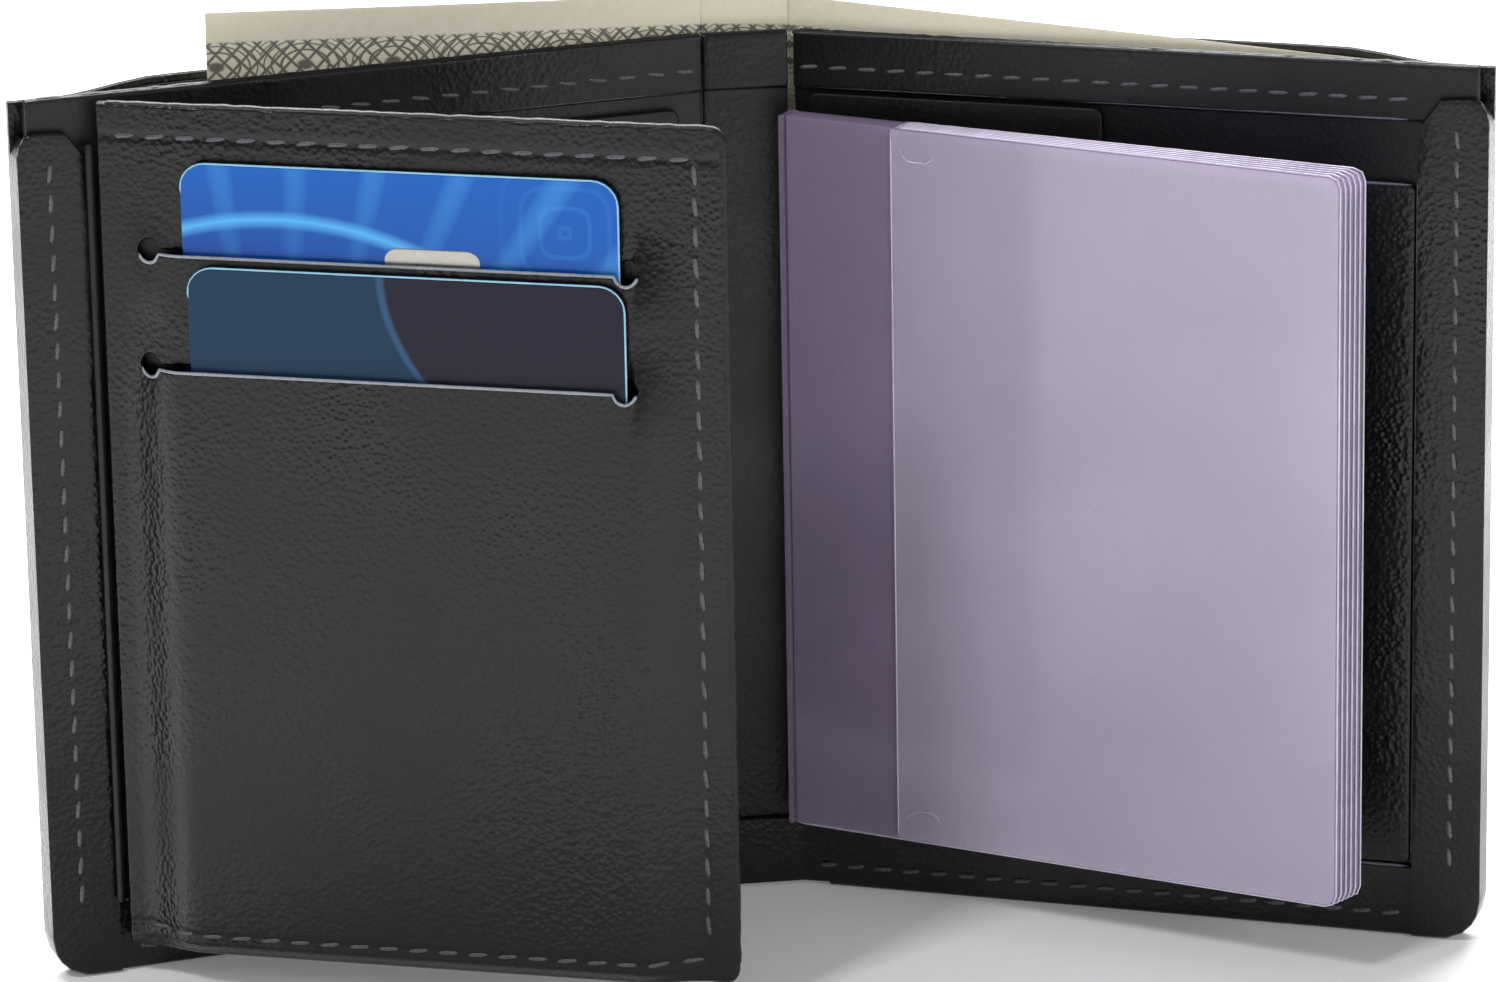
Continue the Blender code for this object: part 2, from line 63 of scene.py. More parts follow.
CARD_WIDTH, CARD_HEIGHT, CARD_THICK, CARD_CORNER = 53.98, 85.6, 0.76, 3.18
UPPER_CARD, LOWER_CARD = (11.6, 18.9), (12.6, 6.5)
PAGE_COUNT, PAGE_WIDTH, PAGE_LOW, PAGE_TOP = 6, 75.4, 9.4, 101.7
PAGE_PITCH, PAGE_FAN, PAGE_LIFT, FILM = 0.5, 0.35, 9.3, 0.12
BINDING_U, BINDING_W = 1.2, 1.9
NOTE_LENGTH, NOTE_HEIGHT, NOTE_TILT = 150.0, 70.0, 3.3
NOTE_DEPTH, NOTE_LEFT_END = 1.35, -73.4
NOTE_TOP_LEFT = WALLET_HEIGHT + 8.2
STITCH_PITCH, STITCH_LENGTH = 3.7, 2.5


class Leaf:
    """A vertical plane with its own u, w and z."""

    def __init__(self, x, y, along, front):
        self.x, self.y, self.along, self.front = x, y, along, front

    def at(self, u, w, z):
        x = self.x + u * self.along[0] + w * self.front[0]
        y = self.y + u * self.along[1] + w * self.front[1]
        return Vector((x, y, z)) * MM

    def inverse(self, p):
        dx, dy = p.x / MM - self.x, p.y / MM - self.y
        return (dx * self.along[0] + dy * self.along[1],
                dx * self.front[0] + dy * self.front[1], p.z / MM)


def facing(angle, side):
    """Directions along and out of a leaf that runs to one side and towards the front."""
    a = math.radians(angle)
    return (side * math.cos(a), -math.sin(a)), (-side * math.sin(a), -math.cos(a))


RIGHT = Leaf(*RIGHT_CREASE, *facing(RIGHT_ANGLE, 1))
spine_x, spine_y = facing(SPINE_ANGLE, -1)[0]
left_crease = (RIGHT_CREASE[0] + SPINE_WIDTH * spine_x, RIGHT_CREASE[1] + SPINE_WIDTH * spine_y)
LEFT = Leaf(*left_crease, *facing(LEFT_ANGLE, -1))
SPINE = Leaf(*left_crease, (-spine_x, -spine_y), (-spine_y, spine_x))
flap_hinge = LEFT.at(LEFT_WIDTH - EDGE_STRIP, FLAP_AXIS_OUT, 0) / MM
FLAP = Leaf(flap_hinge.x, flap_hinge.y, *facing(FLAP_ANGLE, 1))


def page_leaf(number):
    """Page 1 is the front page, page 6 lies next to the cover."""
    rank = PAGE_COUNT - number
    front = facing(RIGHT_ANGLE + PAGE_LIFT, 1)[1]
    base = RIGHT.at(BINDING_U, BINDING_W, 0) / MM
    return Leaf(base.x + front[0] * PAGE_PITCH * rank, base.y + front[1] * PAGE_PITCH * rank,
                *facing(RIGHT_ANGLE + PAGE_LIFT + PAGE_FAN * rank, 1))


def smooth(t):
    """0 to 1 with level ends."""
    t = min(1.0, max(0.0, t))
    return t * t * (3 - 2 * t)


# ------------------------------------------------------------------- materials
class Look:
    """A node material under construction, read from the socket end."""

    def __init__(self, name):
        self.material = bpy.data.materials.new(name)
        self.material.use_nodes = True
        self.tree = self.material.node_tree
        self.shader = self.tree.nodes["Principled BSDF"]

    def node(self, kind, **inputs):
        made = self.tree.nodes.new(kind)
        for key, value in inputs.items():
            self.put(made.inputs[key.replace("_", " ")], value)
        return made

    def put(self, socket, value):
        if isinstance(value, bpy.types.NodeSocket):
            self.tree.links.new(value, socket)
        else:
            socket.default_value = value

    def set(self, **inputs):
        for key, value in inputs.items():
            self.put(self.shader.inputs[key.replace("_", " ")], value)

    def math(self, operation, a, b=0.0, clamp=False):
        made = self.tree.nodes.new("ShaderNodeMath")
        made.operation = operation
        made.use_clamp = clamp
        self.put(made.inputs[0], a)
        self.put(made.inputs[1], b)
        return made.outputs[0]

    def mix(self, factor, a, b):
        made = self.tree.nodes.new("ShaderNodeMix")
        made.data_type = "RGBA"
        self.put(made.inputs["Factor"], factor)
        self.put(made.inputs["A"], a)
        self.put(made.inputs["B"], b)
        return made.outputs["Result"]

    def sheet_place(self):
        """Sockets u and z of a leaf, in metres."""
        uv = self.tree.nodes.new("ShaderNodeUVMap")
        uv.uv_map = "sheet"
        split = self.node("ShaderNodeSeparateXYZ", Vector=uv.outputs[0])
        return split.outputs["X"], split.outputs["Y"]

    def place(self):
        return self.tree.nodes.new("ShaderNodeTexCoord").outputs["Object"]

    def noise(self, scale, detail=3.0, place=None):
        made = self.node("ShaderNodeTexNoise", Scale=scale, Detail=detail,
                         Vector=place or self.place())
        return made.outputs["Fac"]

    def ramp(self, value, low, high, a=0.0, b=1.0):
        made = self.node("ShaderNodeMapRange", Value=value)
        for key, number in zip(("From Min", "From Max", "To Min", "To Max"), (low, high, a, b)):
            made.inputs[key].default_value = number
        return made.outputs[0]

    def bump(self, height, distance, strength=1.0, normal=None):
        made = self.node("ShaderNodeBump", Height=height, Distance=distance, Strength=strength)
        if normal is not None:
            self.put(made.inputs["Normal"], normal)
        return made.outputs[0]


def leather_look(name, grain=1.0, rough=0.31):
    look = Look(name)
    place = look.place()
    cells = look.node("ShaderNodeTexVoronoi", Scale=1500.0, Vector=place)
    cells.feature = "SMOOTH_F1"
    cells.inputs["Smoothness"].default_value = 0.35
    big = look.noise(60.0, 2.0, place)
    fine = look.noise(5200.0, 2.0, place)
    depth = look.ramp(big, 0.35, 0.68, 0.45, 1.0)
    pebble = look.math("MULTIPLY", cells.outputs["Distance"], depth)
    normal = look.bump(pebble, 0.00011 * grain, 1.0)
    normal = look.bump(fine, 0.00002, 0.6, normal)
    crease = look.noise(150.0, 3.0, place)
    normal = look.bump(crease, 0.00010, 0.3, normal)
    colour = look.mix(cells.outputs["Distance"], (0.006, 0.006, 0.0066, 1), (0.002, 0.002, 0.0024, 1))
    look.set(Base_Color=colour, Roughness=look.ramp(big, 0.3, 0.7, rough + 0.06, rough - 0.08),
             Normal=normal, Specular_IOR_Level=0.34)
    return look.material


def lining_look():
    look = Look("black_lining")
    u, z = look.sheet_place()
    warp = look.math("SINE", look.math("MULTIPLY", u, 14000.0))
    weft = look.math("SINE", look.math("MULTIPLY", z, 14000.0))
    normal = look.bump(look.math("MULTIPLY", warp, weft), 0.00005, 0.8)
    look.set(Base_Color=(0.010, 0.010, 0.011, 1), Roughness=0.8, Normal=normal)
    return look.material


def thread_look():
    look = Look("grey_thread")
    twist = look.noise(3600.0, 2.0)
    look.set(Base_Color=look.mix(twist, (0.015, 0.016, 0.018, 1), (0.13, 0.14, 0.155, 1)),
             Roughness=0.36, Normal=look.bump(twist, 0.0001))
    return look.material


def raw_edge_look(name, colour):
    look = Look(name)
    fibre = look.noise(2600.0, 3.0)
    look.set(Base_Color=look.mix(fibre, (*(c * 0.35 for c in colour), 1), (*colour, 1)),
             Roughness=0.6, Normal=look.bump(fibre, 0.0001))
    return look.material


def vinyl_look(name, alpha, colour):
    look = Look(name)
    waves = look.noise(38.0, 2.0)
    cloud = look.noise(25.0, 3.0)
    tint = look.mix(look.ramp(cloud, 0.35, 0.65), colour, (*(c * 1.14 for c in colour[:3]), 1))
    look.set(Base_Color=tint, Roughness=0.16, Alpha=alpha, Coat_Weight=0.4, Coat_Roughness=0.08,
             Normal=look.bump(waves, 0.0006, 0.35))
    return look.material


def blue_card_look():
    """Blue field with nested rounded squares, an arc and rays of light."""
    look = Look("blue_card")
    u, z = look.sheet_place()
    left, top = UPPER_CARD[0] * MM, (UPPER_CARD[1] + CARD_HEIGHT) * MM
    du = look.math("SUBTRACT", u, left + 0.0475)
    dz = look.math("SUBTRACT", z, top - 0.0065)
    power = [look.math("POWER", look.math("ABSOLUTE", d), 4.0) for d in (du, dz)]
    square = look.math("POWER", look.math("ADD", *power), 0.25)
    rings = look.math("SINE", look.math("MULTIPLY", square, 2600.0))
    ring = look.math("MULTIPLY", look.ramp(rings, 0.55, 0.95), look.ramp(square, 0.011, 0.003))
    ax = look.math("SUBTRACT", u, left + 0.012)
    az = look.math("SUBTRACT", z, top - 0.052)
    far = look.math("SQRT", look.math("ADD", look.math("POWER", ax, 2.0), look.math("POWER", az, 2.0)))
    arc = look.math("SUBTRACT", 1.0, look.ramp(look.math("ABSOLUTE", look.math("SUBTRACT", far, 0.0455)),
                                               0.0, 0.0012))
    rays = look.math("SINE", look.math("MULTIPLY", look.math("ARCTAN2", az, ax), 34.0))
    glow = look.math("MULTIPLY", look.ramp(rays, 0.4, 1.0), look.ramp(far, 0.03, 0.06, 0.0, 0.5))
    base = look.mix(look.ramp(u, left, left + 0.054), (0.001, 0.035, 0.24, 1), (0.002, 0.085, 0.40, 1))
    base = look.mix(look.ramp(z, top - 0.017, top), base, (0.002, 0.10, 0.45, 1))
    base = look.mix(look.math("MULTIPLY", ring, 0.18), base, (0.05, 0.28, 0.70, 1))
    base = look.mix(look.math("MULTIPLY", glow, 0.45), base, (0.10, 0.50, 0.95, 1))
    base = look.mix(look.math("MULTIPLY", arc, 0.8, True), base, (0.10, 0.48, 0.90, 1))
    look.set(Base_Color=base, Roughness=0.25, Specular_IOR_Level=0.25)
    return look.material


def dark_card_look():
    """Navy and grey-blue fields parted by a curve."""
    look = Look("dark_card")
    u, z = look.sheet_place()
    left, top = LOWER_CARD[0] * MM, (LOWER_CARD[1] + CARD_HEIGHT) * MM
    bend = look.math("MULTIPLY", look.math("POWER", look.math("SUBTRACT", top, z), 2.0), 30.0)
    side = look.math("SUBTRACT", look.math("SUBTRACT", u, left + 0.024), bend)
    base = look.mix(look.ramp(side, -0.0003, 0.0003), (0.010, 0.035, 0.075, 1),
                    (0.014, 0.014, 0.028, 1))
    line = look.math("SUBTRACT", 1.0, look.ramp(look.math("ABSOLUTE", side), 0.0002, 0.0007))
    base = look.mix(look.math("MULTIPLY", line, 0.5), base, (0.05, 0.13, 0.28, 1))
    look.set(Base_Color=base, Roughness=0.3, Specular_IOR_Level=0.15)
    return look.material


def card_rim_look():
    look = Look("card_rim")
    look.set(Base_Color=look.mix(look.noise(300.0), (0.20, 0.45, 0.62, 1), (0.32, 0.60, 0.75, 1)),
             Roughness=0.3)
    return look.material


def contact_look():
    look = Look("card_contact")
    brushed = look.noise(2400.0)
    look.set(Base_Color=(0.42, 0.41, 0.38, 1), Metallic=1.0,
             Roughness=look.ramp(brushed, 0.3, 0.7, 0.3, 0.42))
    return look.material


def banknote_look():
    """Cream paper with a dark border of lattice and ovals, and fine wave lines."""
    look = Look("banknote_paper")
    s, z = look.sheet_place()
    top = NOTE_TOP_LEFT * MM
    slope = math.tan(math.radians(NOTE_TILT))
    down = look.math("SUBTRACT", top - slope * -NOTE_LEFT_END * MM,
                     look.math("ADD", z, look.math("MULTIPLY", s, slope)))
    lattice = [look.math("ABSOLUTE", look.math("SINE", look.math("MULTIPLY", look.math(
        operation, s, down), 1500.0))) for operation in ("ADD", "SUBTRACT")]
    weave = look.math("MINIMUM", *lattice)
    column = look.math("SUBTRACT", look.math("FRACT", look.math("MULTIPLY", s, 90.0)), 0.5)
    oval = look.math("ADD", look.math("POWER", look.math("MULTIPLY", column, 2.2), 2.0), look.math(
        "POWER", look.math("MULTIPLY", look.math("SUBTRACT", down, 0.0068), 320.0), 2.0))
    ovals = look.math("ABSOLUTE", look.math("SINE", look.math("MULTIPLY", oval, 9.0)))
    band = look.math("MULTIPLY", look.ramp(down, 0.0036, 0.0039), look.ramp(down, 0.0102, 0.0099))
    ink = look.math("MULTIPLY", band, look.ramp(look.math("MINIMUM", weave, ovals), 0.5, 0.2))
    inner = look.math("MULTIPLY", look.ramp(down, 0.0112, 0.0114), look.ramp(look.math(
        "ABSOLUTE", look.math("SINE", look.math("ADD", look.math("MULTIPLY", down, 4200.0), look.math(
            "MULTIPLY", look.math("SINE", look.math("MULTIPLY", s, 320.0)), 1.6)))), 0.35, 0.15))
    ink = look.math("ADD", ink, look.math("MULTIPLY", inner, 0.55), True)
    paper = look.mix(look.noise(900.0), (0.74, 0.69, 0.53, 1), (0.84, 0.79, 0.64, 1))
    colour = look.mix(look.math("MULTIPLY", ink, 0.85), paper, (0.05, 0.06, 0.05, 1))
    look.set(Base_Color=colour, Roughness=0.85, Normal=look.bump(look.noise(1400.0), 0.00005))
    return look.material


LEATHER = leather_look("black_leather")
SMOOTH_LEATHER = leather_look("black_leather_smooth", 0.55, 0.42)
LINING, THREAD = lining_look(), thread_look()
RAW_EDGE = raw_edge_look("raw_edge", (0.14, 0.16, 0.20))
SLIT_EDGE = raw_edge_look("slit_edge", (0.42, 0.45, 0.52))
VINYL = vinyl_look("clear_vinyl", 0.30, (0.70, 0.63, 0.80, 1))
VINYL_BACK = vinyl_look("clear_vinyl_back", 0.45, (0.34, 0.27, 0.41, 1))
VINYL_RIM = vinyl_look("clear_vinyl_rim", 0.75, (0.72, 0.66, 0.82, 1))
BLUE_CARD, DARK_CARD, CARD_RIM = blue_card_look(), dark_card_look(), card_rim_look()
CONTACT, NOTE = contact_look(), banknote_look()


# ---------------------------------------------------------------- mesh builders
def keep(name, bm, look, body, slot, *nodes):
    """Puts a mesh into the scene on a body, in place of the named nodes."""
    mesh = bpy.data.meshes.new(name)
    bm.to_mesh(mesh)
    bm.free()
    mesh.shade_smooth()
    mesh.set_sharp_from_angle(angle=math.radians(50))
    piece = bpy.data.objects.new(name, mesh)
    bpy.context.scene.collection.objects.link(piece)
    mesh.materials.append(look)
    if body:
        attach(piece, body)
    if nodes:
        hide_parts(*nodes)
    return piece


def spaced(low, high, step, near=(), reach=1.6, fine=0.25):
    """Grid lines from low to high, finer round the places named in near and at both ends."""
    lines, x = [low], low
    while x < high - 1e-6:
        gap = min([abs(x - p) for p in (*near, low, high)])
        x = min(high, x + (fine if gap < reach else min(step, fine + (gap - reach) * 0.5)))
        lines.append(x)
    if len(lines) > 2 and lines[-1] - lines[-2] < fine * 0.3:
        lines.pop(-2)
    return lines


def sheet(name, leaf, us, ts, low, high, front, thick, look, body, slot, nodes=(), roll=0.3,
          open_low=None, open_high=None, uv=None):
    """A closed sheet with rolled edges.

    us are its columns, ts its rows from 0 (low(u)) to 1 (high(u)). front(u, z) is the height of
    its front face. open_low and open_high tell where the lower and upper edge are free: elsewhere
    the sheet goes on past them, and its edge there is left square.
    """
    bm = bmesh.new()
    layer = bm.loops.layers.uv.new("sheet")
    grid = []
    for t in ts:
        row = []
        for u in us:
            z = low(u) + (high(u) - low(u)) * t
            d = [u - us[0], us[-1] - u]
            d.append(z - low(u) if open_low is None or open_low(u) else roll)
            d.append(high(u) - z if open_high is None or open_high(u) else roll)
            inside = max(0.0, roll - min(d))
            drop = min(thick * 0.5, roll) * (1 - math.sqrt(max(0.0, 1 - (inside / roll) ** 2)))
            w = front(u, z)
            place = uv(u, z) if uv else (u * MM, z * MM)
            row.append((bm.verts.new(leaf.at(u, w - drop, z)),
                        bm.verts.new(leaf.at(u, w - thick + drop, z)), place))
        grid.append(row)

    def face(corners, side):
        f = bm.faces.new([c[side] for c in corners])
        for loop, c in zip(f.loops, corners):
            loop[layer].uv = c[2]

    for j in range(len(ts) - 1):
        for i in range(len(us) - 1):
            corners = [grid[j][i], grid[j][i + 1], grid[j + 1][i + 1], grid[j + 1][i]]
            face(corners, 0)
            face(corners[::-1], 1)

    def wall(a, b):
        f = bm.faces.new([b[0], a[0], a[1], b[1]])
        for loop, c in zip(f.loops, (b, a, a, b)):
            loop[layer].uv = c[2]

    for j in range(len(ts) - 1):
        wall(grid[j + 1][0], grid[j][0])
        wall(grid[j][-1], grid[j + 1][-1])
    for i in range(len(us) - 1):
        middle = (us[i] + us[i + 1]) / 2
        if open_low is None or open_low(middle):
            wall(grid[0][i], grid[0][i + 1])
        if open_high is None or open_high(middle):
            wall(grid[-1][i + 1], grid[-1][i])
    bmesh.ops.remove_doubles(bm, verts=bm.verts, dist=1e-7)
    bmesh.ops.recalc_face_normals(bm, faces=bm.faces)
    return keep(name, bm, look, body, slot, *nodes)


def wrinkle(u, z, seed, size, height):
    """Slow waves of a leather face."""
    return height * noise.noise(Vector((u / size, z / size, seed)))


def soften(name, leaf, look, body, slot, width=0.28, longest=2.6, waves=0.10, seed=0.0, cut=None,
           widen=0.0):
    """Fine copy of a node: welded, its edges rolled over, its faces split and gently waved."""
    bm = bmesh.new()
    bm.from_mesh(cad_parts[name].data)
    bmesh.ops.remove_doubles(bm, verts=bm.verts, dist=1e-6)
    bmesh.ops.dissolve_limit(bm, angle_limit=math.radians(1.0), verts=bm.verts, edges=bm.edges)
    sharp = [e for e in bm.edges if len(e.link_faces) == 2 and e.calc_face_angle(0) > math.radians(38)]
    bmesh.ops.bevel(bm, geom=sharp, offset=width * MM, segments=3, profile=0.5, affect="EDGES",
                    clamp_overlap=True)
    bmesh.ops.triangulate(bm, faces=bm.faces)
    for _ in range(7):
        long_edges = [e for e in bm.edges if e.calc_length() > longest * MM]
        if not long_edges:
            break
        bmesh.ops.subdivide_edges(bm, edges=long_edges, cuts=1)
        bmesh.ops.triangulate(bm, faces=[f for f in bm.faces if len(f.verts) > 3])
    bm.normal_update()
    bmesh.ops.recalc_face_normals(bm, faces=bm.faces)
    for v in bm.verts:
        u, w, z = leaf.inverse(v.co)
        push = wrinkle(u, z, seed + w * 0.02, 14.0, waves)
        v.co += Vector((*leaf.front, 0)) * push * MM
        v.co += Vector((*leaf.along, 0)) * (u - SPINE_WIDTH / 2) * widen * MM
    if cut is not None:
        centre, normal = cut
        bmesh.ops.bisect_plane(bm, geom=[*bm.verts, *bm.edges, *bm.faces], plane_co=centre,
                               plane_no=normal, clear_outer=True)
    layer = bm.loops.layers.uv.get("sheet") or bm.loops.layers.uv.new("sheet")
    for f in bm.faces:
        for loop in f.loops:
            u, w, z = leaf.inverse(loop.vert.co)
            loop[layer].uv = (u * MM, z * MM)
    return keep("fine_" + name, bm, look, body, slot, name)


def stitches(name, at, path, body, nodes, width=0.62, height=0.34, pitch=STITCH_PITCH,
             length=STITCH_LENGTH):
    """Separate stitches along a path of (u, z) corners; at(u, z, lift) is a point on the leather."""
    bm = bmesh.new()
    bm.loops.layers.uv.new("sheet")
    rings, around = 9, 8
    for (u0, z0), (u1, z1) in zip(path, path[1:]):
        span = math.hypot(u1 - u0, z1 - z0)
        du, dz = (u1 - u0) / span, (z1 - z0) / span
        count = max(1, round(span / pitch))
        for k in range(count):
            middle = (k + 0.5) * span / count
            lean = 0.10 + 0.05 * math.sin(k * 2.3)
            rows = []
            for r in range(rings):
                s = r / (rings - 1) * 2 - 1
                fat = math.sqrt(max(0.0, 1 - s ** 4)) * (1 + 0.10 * math.sin(s * 9 + k))
                along = middle + s * length / 2
                off = lean * s
                ring = []
                for a in range(around):
                    turn = 2 * math.pi * a / around
                    side = off + width / 2 * fat * math.cos(turn)
                    lift = height * (0.35 * (1 - s * s) - 0.2) + height * 0.65 * fat * math.sin(turn)
                    ring.append(bm.verts.new(at(u0 + du * along - dz * side,
                                                z0 + dz * along + du * side, lift)))
                rows.append(ring)
            for a, b in zip(rows, rows[1:]):
                for i in range(around):
                    j = (i + 1) % around
                    bm.faces.new([a[i], a[j], b[j], b[i]])
    bmesh.ops.remove_doubles(bm, verts=bm.verts, dist=2e-6)
    bmesh.ops.recalc_face_normals(bm, faces=bm.faces)
    return keep(name, bm, THREAD, body, "grey_thread", *nodes)


def edge_line(name, at, path, body, radius=0.2, look=None, slot="black_leather"):
    """A thin raw edge along a path of (u, z) points."""
    bm = bmesh.new()
    bm.loops.layers.uv.new("sheet")
    rows, around = [], 8
    points = [path[0]]
    for a, b in zip(path, path[1:]):
        pieces = max(1, int(math.hypot(b[0] - a[0], b[1] - a[1]) / 1.2))
        points += [(a[0] + (b[0] - a[0]) * k / pieces, a[1] + (b[1] - a[1]) * k / pieces)
                   for k in range(1, pieces + 1)]
    for i, (u, z) in enumerate(points):
        (ua, za), (ub, zb) = points[max(0, i - 1)], points[min(len(points) - 1, i + 1)]
        size = math.hypot(ub - ua, zb - za)
        nu, nz = -(zb - za) / size, (ub - ua) / size
        r = radius * (1 + 0.25 * noise.noise(Vector((u * 0.9, z * 0.9, 3.0))))
        r *= 0.15 if i in (0, len(points) - 1) else 1
        rows.append([bm.verts.new(at(u + nu * r * math.cos(t), z + nz * r * math.cos(t),
                                     r * math.sin(t)))
                     for t in (2 * math.pi * k / around for k in range(around))])
    for a, b in zip(rows, rows[1:]):
        for i in range(around):
            j = (i + 1) % around
            bm.faces.new([a[i], a[j], b[j], b[i]])
    bm.faces.new(rows[0])
    bm.faces.new(rows[-1][::-1])
    bmesh.ops.recalc_face_normals(bm, faces=bm.faces)
    return keep(name, bm, look or RAW_EDGE, body, slot)


def on(leaf, face):
    """Places points on a leaf, lifted from the height face."""
    return lambda u, z, lift: leaf.at(u, face + lift, z)


# ----------------------------------------------------------------------- covers
def covers():
    for side, leaf, body in (("left", LEFT, "left_cover"), ("right", RIGHT, "right_cover")):
        soften("outer_shell_" + side, leaf, LEATHER, body, "black_leather", 0.4, 2.4, 0.12, 1.0)
        soften("shell_lining_" + side, leaf, LINING, body, "black_lining", 0.1, 6.0, 0.0)
        soften("bill_liner_" + side, leaf, SMOOTH_LEATHER, body, "black_leather", 0.3, 2.2, 0.12, 5.0)
    soften("hidden_pocket_left", LEFT, SMOOTH_LEATHER, "left_cover", "black_leather", 0.25, 2.6)
    soften("card_pocket_right", RIGHT, LEATHER, "right_cover", "black_leather", 0.25, 2.2, 0.1, 8.0)
    soften("insert_sleeve_panel", RIGHT, SMOOTH_LEATHER, "right_cover", "black_leather", 0.2, 2.6)
    soften("flap_hinge_tab", LEFT, SMOOTH_LEATHER, "left_cover", "black_leather", 0.1, 3.0, 0.0)
    soften("insert_tab", RIGHT, VINYL_BACK, "right_cover", "clear_vinyl", 0.08, 3.0, 0.0)
    soften("insert_spine_film", page_leaf(PAGE_COUNT), VINYL_BACK, "right_cover", "clear_vinyl",
           0.05, 3.0, 0.0)


def spine():
    """Shell and liner over the spine, cut at its middle into a left and a right half."""
    for node, look, wide, bend, longest in (
            ("outer_shell_spine", LEATHER, 0.4, SPINE_WIDTH / 2, 1.4),
            ("bill_liner_spine", SMOOTH_LEATHER, 0.3, 1.4, 0.8)):
        middle = SPINE.at(SPINE_WIDTH / 2, 0, 0)
        along = Vector((*SPINE.along, 0))
        for side, normal, crease, inner, bodies in (
                ("left", along, 0.0, bend, ("left_cover", "spine")),
                ("right", -along, SPINE_WIDTH, SPINE_WIDTH - bend, ("right_cover", "spine"))):
            half = soften(node, SPINE, look, None, "black_leather", wide, longest, 0.05, 2.0,
                          (middle, normal), 0.09)
            half.name = f"fine_{node}_{side}"
            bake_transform(half)


# ------------------------------------------------------------------------- flap
def slit_half(u):
    """Half opening of a card slit, with a punched hole at each end."""
    for end in (SLIT_LEFT, SLIT_RIGHT):
        if abs(u - end) <= SLIT_HOLE:
            hole = math.sqrt(SLIT_HOLE ** 2 - (u - end) ** 2)
            within = (u > end) == (end == SLIT_LEFT)
            return max(hole, 0.12) if within else hole
    return 0.12 if SLIT_LEFT < u < SLIT_RIGHT else 0.0


def over_cards(u):
    """1 over the cards, falling to 0 at the slits' far ends."""
    rise = smooth((u - SLIT_LEFT + SLIT_HOLE) / (UPPER_CARD[0] - 0.3 - SLIT_LEFT + SLIT_HOLE))
    edge = LOWER_CARD[0] + CARD_WIDTH + 0.2
    return min(rise, smooth((SLIT_RIGHT + SLIT_HOLE - u) / (SLIT_RIGHT + SLIT_HOLE - edge)))


def beside_cards(u):
    """What a wider, softer slope adds to over_cards between the stitches and the cards."""
    rise = smooth((u - 2.8) / (UPPER_CARD[0] - 0.3 - 2.8))
    edge = LOWER_CARD[0] + CARD_WIDTH + 0.2
    wide = min(rise, smooth((FLAP_ROW_SIDE - 0.3 - u) / (FLAP_ROW_SIDE - 0.3 - edge)))
    return wide - over_cards(u)


FLAP_FACE = 0.15
FLAP_ROW_TOP, FLAP_ROW_SIDE, FLAP_ROW_LOW = FLAP_TOP - 3.9, FLAP_WIDTH - 3.6, FLAP_LOW + 2.9


def flap_height(u, z):
    """Height of the flap's front leather: tiers over the cards, grooves along the stitches."""
    tier = 0.0 if z >= UPPER_SLIT else 1.0 if z >= LOWER_SLIT else 2.0
    foot = 0.55 + 0.45 * smooth((z - FLAP_LOW) / (LOWER_CARD[1] - 0.3 - FLAP_LOW))
    slope = smooth((UPPER_SLIT + 6 - z) / 12) + smooth((LOWER_SLIT + 6 - z) / 12)
    beside = slope * beside_cards(u) * foot
    w = FLAP_FACE + TIER * (tier * over_cards(u) * foot + beside)
    rows = [abs(z - FLAP_ROW_TOP), abs(u - FLAP_ROW_SIDE), abs(z - FLAP_ROW_LOW)]
    groove = math.exp(-(min(rows) / 0.55) ** 2)
    sag = 0.10 * noise.noise(Vector((u / 16, z / 22, 4.0))) * over_cards(u)
    return w + max(0.0, sag) - 0.13 * groove


def flap_zone(name, low, high, open_low, open_high, *nodes):
    """One zone of the flap front. Zones part at the slits and join beside them."""
    corner = 1.5

    def corner_drop(u):
        inside = max(0.0, u - (FLAP_WIDTH - corner))
        return corner - math.sqrt(max(0.0, corner ** 2 - inside ** 2))

    def free(u):
        return SLIT_LEFT - SLIT_HOLE < u < SLIT_RIGHT + SLIT_HOLE

    us = spaced(1.0, FLAP_WIDTH, 1.1, (SLIT_LEFT, SLIT_RIGHT, FLAP_ROW_SIDE), 1.7)
    span = high - low
    near = [z for z in (FLAP_ROW_TOP, FLAP_ROW_LOW) if low < z < high]
    ts = [(z - low) / span for z in spaced(low, high, 1.1, near, 1.2)]
    sheet(name, FLAP, us, ts,
          lambda u: low + (slit_half(u) if open_low else corner_drop(u)),
          lambda u: high - (slit_half(u) if open_high else corner_drop(u)),
          lambda u, z: flap_height(u, min(max(z, low + 1e-4), high - 1e-4)), FLAP_LEATHER, LEATHER,
          "flap", "black_leather", nodes, 0.32, free if open_low else None,
          free if open_high else None)


